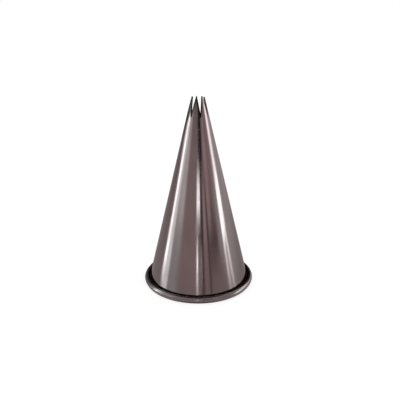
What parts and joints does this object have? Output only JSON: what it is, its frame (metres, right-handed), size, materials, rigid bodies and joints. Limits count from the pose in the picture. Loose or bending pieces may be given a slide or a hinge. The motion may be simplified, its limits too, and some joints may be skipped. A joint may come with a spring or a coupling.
{
  "type": "piping nozzle",
  "caption": "Tall conical piping nozzle of rolled stainless sheet, with a toothed star mouth at the narrow end and a ring with a rounded lip round the wide end.",
  "frame": {"origin": "centre of the flat underside of the base ring, on the nozzle's axis", "axes": "+Z along the nozzle's axis from the foot to the toothed mouth, -Y towards the front as pictured, +X to the picture's right"},
  "size_m": [0.0302, 0.0302, 0.0512],
  "materials": {
    "polished_wall": "stainless sheet polished round the axis, with fine lathe lines",
    "polished_ring": "stainless, polished, a little more worn than the wall",
    "weld_metal": "weld metal, dull and slightly heat tinted"
  },
  "bodies": {
    "root": {"cone_wall": "polished_wall", "side_seam": "weld_metal", "base_ring": "polished_ring", "ring_weld": "weld_metal"}
  },
  "joints": []
}
